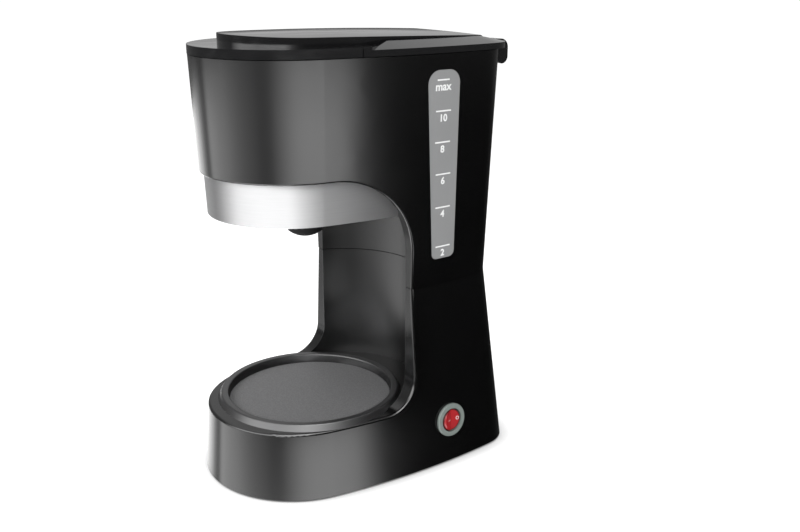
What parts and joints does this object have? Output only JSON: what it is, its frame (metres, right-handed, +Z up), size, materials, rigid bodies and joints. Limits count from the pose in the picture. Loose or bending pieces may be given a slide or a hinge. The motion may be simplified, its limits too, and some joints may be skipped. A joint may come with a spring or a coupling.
{
  "type": "drip coffee maker",
  "caption": "Black drip coffee maker with a waisted body, open carafe bay over a round hotplate, silver brew-head band, grey water window, red rocker switch and a hinged lid.",
  "frame": {"origin": "middle of the footprint, on the surface that the feet stand on", "axes": "+Z up, -Y to the front where the carafe goes in, +X to the side with the window and the switch"},
  "size_m": [0.1385, 0.2046, 0.2876],
  "materials": {
    "body_black": "satin moulded black",
    "gloss_black": "polished black",
    "inner_black": "fine matt black",
    "ring_black": "satin black, heat resistant",
    "silver": "satin silver",
    "window_grey": "smoky grey, smooth",
    "tank_clear": "frosted clear",
    "hotplate_grey": "baked grey coating",
    "rubber_black": "matt",
    "hose_white": "milky silicone",
    "aluminium": "as cast",
    "steel": "plated",
    "brass": "tinned edges",
    "lead_sleeve": "woven glass sleeve",
    "bezel_grey": "satin grey-green",
    "rocker_red": "smooth red"
  },
  "bodies": {
    "housing": {"lower_housing": "body_black", "upper_housing": "body_black", "filter_housing": "inner_black", "inner_deck": "inner_black", "filter_basket": "inner_black", "base_plate": "inner_black", "riser_spout": "inner_black", "valve_body": "inner_black", "hotplate_ring": "ring_black", "silver_band": "silver", "level_window": "window_grey", "water_tank": "tank_clear", "hotplate": "hotplate_grey", "feet": "rubber_black", "cord_gland": "rubber_black", "hotplate_seal": "rubber_black", "inlet_hose": "hose_white", "riser_hose": "hose_white", "heater": "aluminium", "water_stubs": "aluminium", "thermostat": "aluminium", "thermal_fuse": "aluminium", "base_screws": "steel", "clamp_strap": "steel", "strap_nut": "steel", "hose_clamps": "steel", "valve_spring": "steel", "heater_pins": "steel", "switch_terminals": "brass", "leads": "lead_sleeve", "switch_body": "bezel_grey"},
    "lid": {"lid": "gloss_black", "hinge_pin": "steel", "spray_head": "inner_black"},
    "rocker": {"switch_rocker": "rocker_red"},
    "drip_stop": {"drip_valve": "inner_black", "valve_seal": "rubber_black"},
    "check_ball": {"valve_ball": "steel"}
  },
  "joints": [
    {"name": "lid_hinge", "type": "hinge", "parent": "housing", "child": "lid", "pos_m": [0, 0.09755, 0.2689], "axis": [-1, 0, 0], "range_deg": [0, 95]},
    {"name": "rocker_tilt", "type": "hinge", "parent": "housing", "child": "rocker", "pos_m": [0.06498, 0.0419, 0.03063], "axis": [0.0742, 0.0036, -0.9972], "range_deg": [0, 16]},
    {"name": "drip_stop_lift", "type": "slide", "parent": "housing", "child": "drip_stop", "axis": [0, 0, 1], "range_m": [0, 0.004], "stiffness_N_per_m": 150, "springref_m": -0.01, "deforming": ["valve_spring"]},
    {"name": "check_ball_lift", "type": "slide", "parent": "housing", "child": "check_ball", "axis": [0, 0, 1], "range_m": [0, 0.0035]}
  ]
}
